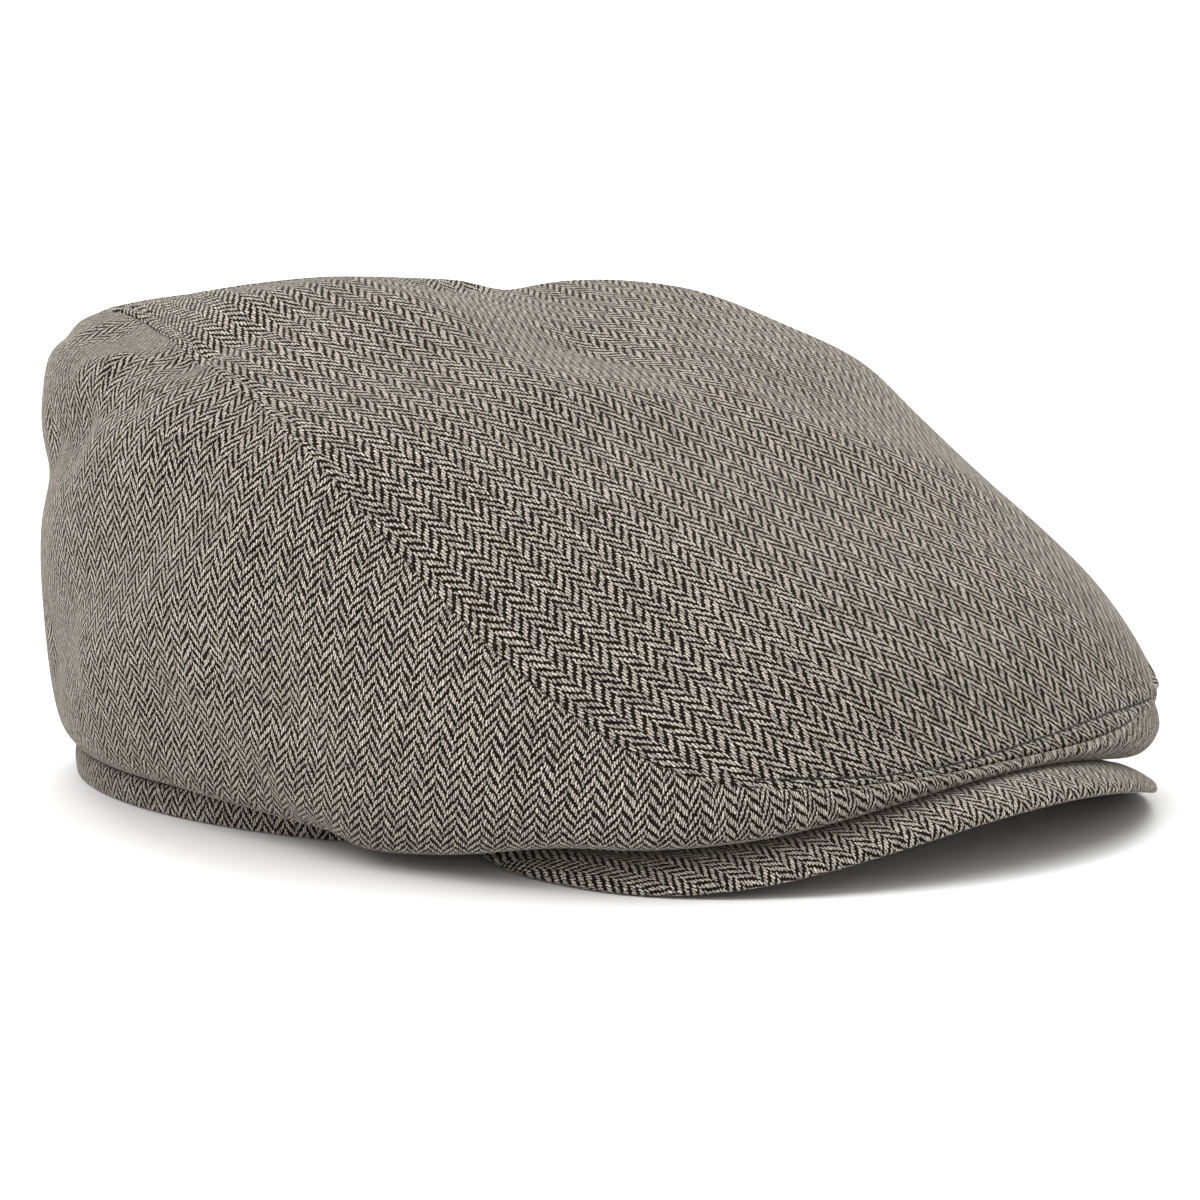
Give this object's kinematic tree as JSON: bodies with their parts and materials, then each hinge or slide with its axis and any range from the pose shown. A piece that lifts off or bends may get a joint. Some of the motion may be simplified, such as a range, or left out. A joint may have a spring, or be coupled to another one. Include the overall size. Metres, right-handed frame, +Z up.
{
  "type": "flat cap",
  "caption": "Low, rounded cloth cap with a wide top panel drawn forward over a short, arched peak, and a narrow band around the head opening",
  "frame": {"origin": "on the table under the middle of the cap's bounding box", "axes": "+Z is up with the cap standing on its band, the peak points along -Y, and the wearer's right side lies along -X"},
  "size_m": [0.2204, 0.2674, 0.1049],
  "materials": {
    "tweed": "fine herringbone wool tweed, cream and black, matt and slightly hairy"
  },
  "bodies": {
    "root": {"top_panel": "tweed", "side_panel_right": "tweed", "side_panel_left": "tweed", "peak": "tweed", "hem_band": "tweed"}
  },
  "joints": []
}
